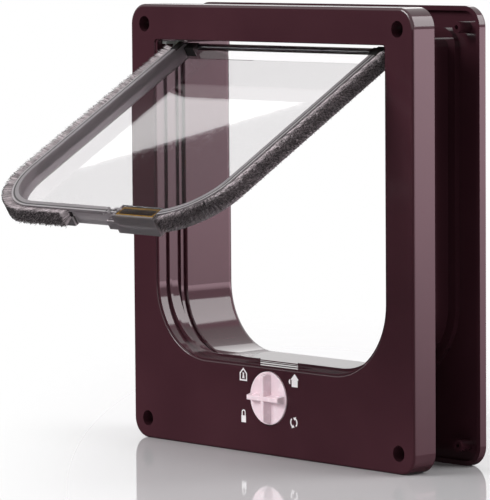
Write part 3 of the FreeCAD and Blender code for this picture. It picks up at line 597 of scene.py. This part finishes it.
free = (MARK_X, -MARK_Z)
for start in RING_STARTS_DEG:
    print_band(ink, free, *(arc(0, 0, r, start, start + RING_SWEEP_DEG) for r in RING_RADII))
    head = [(r, math.radians(start + turn)) for r, turn in ARROW_HEAD]
    print_shape(ink, free, [(r * math.cos(a), r * math.sin(a)) for r, a in head])

printed_ink, tree, shader, place = new_material("pad_printed_ink")
thin = add(tree, "ShaderNodeTexNoise", {"Vector": place, "Scale": 1 / (INK_CLOUD * MM), "Detail": 3.0})
thin_colour = add(tree, "ShaderNodeValToRGB", {"Fac": (thin, "Fac")},
                  stops=[(0.3, INK_THIN), (0.6, INK_WHITE)])
wire(tree, shader, {"Base Color": (thin_colour, "Color"), "Roughness": INK_ROUGHNESS})
finish_piece(ink, "lock_pictograms", (printed_ink,), "inside")

# Floor: a polished white board, in metres. It mirrors the foot of the frames and fades out
# into the white surround, and no glossy face mirrors it.
FLOOR_WHITE = "#D0CED0"
FLOOR_ROUGHNESS = 0.04
FLOOR_HALF = 1.0
FLOOR_MIDDLE = (0.013, 0.015, 0.0)
FLOOR_SPREAD = (0.14, 0.55, 1.0)
FLOOR_TURN_DEG = 48.37
FLOOR_FADE = (0.7, 1.5)

floor_bm = bmesh.new()
bmesh.ops.create_grid(floor_bm, x_segments=1, y_segments=1, size=FLOOR_HALF,
                      matrix=Matrix.Translation((0, 0, cad_box[0].z)))
floor_mesh = bpy.data.meshes.new("floor")
floor_bm.to_mesh(floor_mesh)
floor_bm.free()
floor = bpy.data.objects.new("floor", floor_mesh)
bpy.context.scene.collection.objects.link(floor)

board, tree, shader, place = new_material("polished_white_board")
wire(tree, shader, {"Base Color": linear(FLOOR_WHITE), "Roughness": FLOOR_ROUGHNESS})
spread = add(tree, "ShaderNodeMapping", {"Vector": place, "Location": FLOOR_MIDDLE,
                                         "Rotation": [0, 0, math.radians(FLOOR_TURN_DEG)],
                                         "Scale": FLOOR_SPREAD}, vector_type="TEXTURE")
away = add(tree, "ShaderNodeVectorMath", {0: (spread, "Vector")}, operation="LENGTH")
fade = add(tree, "ShaderNodeMapRange", {"Value": (away, "Value"), "From Min": FLOOR_FADE[0],
                                        "From Max": FLOOR_FADE[1]}, interpolation_type="SMOOTHSTEP")
path = add(tree, "ShaderNodeLightPath")
unseen = add(tree, "ShaderNodeMath", {0: (fade, "Result"), 1: (path, "Is Glossy Ray")}, operation="MAXIMUM")
clear = add(tree, "ShaderNodeBsdfTransparent")
mixed = add(tree, "ShaderNodeMixShader", {"Fac": (unseen, "Value"), 1: (shader, "BSDF"), 2: (clear, "BSDF")})
wire(tree, tree.nodes["Material Output"], {"Surface": (mixed, "Shader")})
floor_mesh.materials.append(board)

# Surround: white to the camera and through the clear flap, with soft light all round. What
# glossy faces mirror is dark in front, bright and pinkish at the right rear, and white
# above, with a darker patch there round what the pane mirrors.
SURROUND_LIGHT = 0.45
MIRROR_DARK = 0.03
MIRROR_SIDE = 4.6
MIRROR_SIDE_LOW = 0.1
MIRROR_SIDE_TINT = "#FFDCE8"
MIRROR_SIDE_WAY = (0.8, 0.6, 0.0)
MIRROR_SIDE_EDGE = (0.35, 0.9)
MIRROR_SIDE_FOOT = (-0.16, -0.02)
MIRROR_HORIZON = (-0.005, 0.05)
MIRROR_ABOVE = 1.05
MIRROR_PATCH = 0.06
MIRROR_PATCH_WAY = (-0.755, 0.27, 0.6)
MIRROR_PATCH_EDGE = (0.9, 0.97)
THROUGH_LEVEL = 1.16
THROUGH_STEEP = 0.35
THROUGH_RISE = (0.3, 0.75)
CAMERA_WHITE = 1.0

world = bpy.data.worlds.new("surround")
bpy.context.scene.world = world
world.use_nodes = True
tree = world.node_tree
path = add(tree, "ShaderNodeLightPath")
sight = add(tree, "ShaderNodeNewGeometry")
axes = add(tree, "ShaderNodeSeparateXYZ", {"Vector": (sight, "Position")})

# What a glossy face mirrors, from below the horizon to above it.
rightness = add(tree, "ShaderNodeVectorMath", {0: (sight, "Position"), 1: MIRROR_SIDE_WAY},
                operation="DOT_PRODUCT")
side_glow = add(tree, "ShaderNodeMapRange", {"Value": (rightness, "Value"), "From Min": MIRROR_SIDE_EDGE[0],
                                             "From Max": MIRROR_SIDE_EDGE[1], "To Max": MIRROR_SIDE},
                interpolation_type="SMOOTHSTEP")
side_height = add(tree, "ShaderNodeMapRange", {"Value": (axes, "Z"), "From Min": MIRROR_SIDE_FOOT[0],
                                               "From Max": MIRROR_SIDE_FOOT[1], "To Min": MIRROR_SIDE_LOW})
side_light = add(tree, "ShaderNodeMath", {0: (side_glow, "Result"), 1: (side_height, "Result"),
                                          2: MIRROR_DARK}, operation="MULTIPLY_ADD")
overhead = add(tree, "ShaderNodeMapRange", {"Value": (axes, "Z"), "From Min": MIRROR_HORIZON[0],
                                            "From Max": MIRROR_HORIZON[1]})
leftness = add(tree, "ShaderNodeVectorMath", {0: (sight, "Position"), 1: MIRROR_PATCH_WAY},
               operation="DOT_PRODUCT")
above = add(tree, "ShaderNodeMapRange", {"Value": (leftness, "Value"), "From Min": MIRROR_PATCH_EDGE[0],
                                         "From Max": MIRROR_PATCH_EDGE[1], "To Min": MIRROR_ABOVE,
                                         "To Max": MIRROR_PATCH})
mirrored = add(tree, "ShaderNodeMix", {"Factor": (overhead, "Result"), "A": (side_light, "Value"),
                                       "B": (above, "Result")}, data_type="FLOAT")

# What is seen through the clear flap, brightest towards the horizon.
steepness = add(tree, "ShaderNodeMath", {0: (axes, "Z")}, operation="ABSOLUTE")
through = add(tree, "ShaderNodeMapRange", {"Value": (steepness, "Value"), "From Min": THROUGH_RISE[0],
                                           "From Max": THROUGH_RISE[1], "To Min": THROUGH_LEVEL,
                                           "To Max": THROUGH_STEEP})

# A ray that is mirrored first and then passes the clear flap still counts as mirrored.
mirrored_once = add(tree, "ShaderNodeMath", {0: (path, "Glossy Depth"), 1: 1.0}, operation="MINIMUM")
mirrored_through = add(tree, "ShaderNodeMath", {0: (path, "Is Transmission Ray"),
                                                1: (mirrored_once, "Value")}, operation="MULTIPLY")
in_mirror = add(tree, "ShaderNodeMath", {0: (path, "Is Glossy Ray"), 1: (mirrored_through, "Value")},
                operation="MAXIMUM")
straight_through = add(tree, "ShaderNodeMath", {0: (path, "Is Transmission Ray"),
                                                1: (mirrored_through, "Value")}, operation="SUBTRACT")
lit = add(tree, "ShaderNodeMix", {"Factor": (in_mirror, "Value"), "A": SURROUND_LIGHT,
                                  "B": (mirrored, "Result")}, data_type="FLOAT")
beyond = add(tree, "ShaderNodeMix", {"Factor": (straight_through, "Value"), "A": (lit, "Result"),
                                     "B": (through, "Result")}, data_type="FLOAT")
level = add(tree, "ShaderNodeMix", {"Factor": (path, "Is Camera Ray"), "A": (beyond, "Result"),
                                    "B": CAMERA_WHITE}, data_type="FLOAT")

# Only the mirrored side light is tinted.
tinted = add(tree, "ShaderNodeMath", {0: (in_mirror, "Value"), 1: (side_glow, "Result")},
             operation="MULTIPLY")
below = add(tree, "ShaderNodeMath", {0: (tinted, "Value"), 1: (overhead, "Result")}, operation="SUBTRACT",
            use_clamp=True)
hue = add(tree, "ShaderNodeMix", {"Factor": (below, "Value"), "A": linear("#FFFFFF"),
                                  "B": linear(MIRROR_SIDE_TINT)}, data_type="RGBA")
wire(tree, tree.nodes["Background"], {"Strength": (level, "Result"), "Color": (hue, "Result")})

# Lights, in metres and watts: soft boxes at the right rear and high in front on the left,
# and a panel whose lower edge the pane mirrors as a pale slanting veil.
KEY_SPOT = (1.1, 0.9, 0.9)
KEY_SIZE = 1.2
KEY_POWER = 22.0
FRONT_SPOT = (-0.7, -1.6, 1.1)
FRONT_SIZE = 1.0
FRONT_POWER = 36.0
VEIL_CENTRE = Vector((-0.743, 0.394, 0.420))
VEIL_OUT = Vector((-0.755, 0.274, 0.596))
VEIL_EDGE = Vector((0.797, 0.492, 0.349))
VEIL_SIZE = (0.9, 0.6)
VEIL_POWER = 2.9


def soft_box(name, spot, turn, size, power):
    """A rectangular area lamp."""
    lamp = bpy.data.lights.new(name, "AREA")
    lamp.shape = "RECTANGLE"
    lamp.size, lamp.size_y = size
    lamp.energy = power
    box = bpy.data.objects.new(name, lamp)
    box.matrix_world = Matrix.Translation(spot) @ turn.to_4x4()
    bpy.context.scene.collection.objects.link(box)


for name, spot, size, power in (("key", KEY_SPOT, KEY_SIZE, KEY_POWER),
                                ("front", FRONT_SPOT, FRONT_SIZE, FRONT_POWER)):
    soft_box(name, spot, (-Vector(spot)).to_track_quat("-Z", "Y").to_matrix(), (size, size), power)
veil_z = VEIL_OUT.normalized()
veil_x = (VEIL_EDGE - VEIL_EDGE.dot(veil_z) * veil_z).normalized()
veil_turn = Matrix((veil_x, veil_z.cross(veil_x), veil_z)).transposed()
soft_box("veil", VEIL_CENTRE, veil_turn, VEIL_SIZE, VEIL_POWER)

# Camera: far off to the right, looking a little down, with a slight roll. Its distance,
# shift and aim are in mm, and its lens follows the photo's height in pixels.
LENS_PX = 3729.19
FRAME_HEIGHT_PX = 500
SENSOR = 36.0
VIEW_AZIMUTH_DEG = 48.37
VIEW_ELEVATION_DEG = 4.94
VIEW_ROLL_DEG = -0.43
VIEW_SHIFT = (31.2, 11.53)
VIEW_DISTANCE = 2098.13
LOOK_AT = Vector((0, 9.0, 0))

azimuth = math.radians(VIEW_AZIMUTH_DEG)
elevation = math.radians(VIEW_ELEVATION_DEG)
roll = math.radians(VIEW_ROLL_DEG)
back = Vector((math.sin(azimuth) * math.cos(elevation), -math.cos(azimuth) * math.cos(elevation),
               math.sin(elevation)))
right = (-back).cross(Vector((0, 0, 1))).normalized()
up = right.cross(-back)
spot = (LOOK_AT + back * VIEW_DISTANCE - right * VIEW_SHIFT[0] - up * VIEW_SHIFT[1]) * MM
rolled_right = right * math.cos(roll) + up * math.sin(roll)
rolled_up = up * math.cos(roll) - right * math.sin(roll)
lens = bpy.data.cameras.new("camera")
lens.sensor_width = SENSOR
lens.lens = LENS_PX / FRAME_HEIGHT_PX * SENSOR
camera = bpy.data.objects.new("camera", lens)
camera.matrix_world = Matrix.Translation(spot) @ Matrix((rolled_right, rolled_up, back)).transposed().to_4x4()
bpy.context.scene.collection.objects.link(camera)
bpy.context.scene.camera = camera
bpy.context.scene.view_settings.view_transform = "Standard"
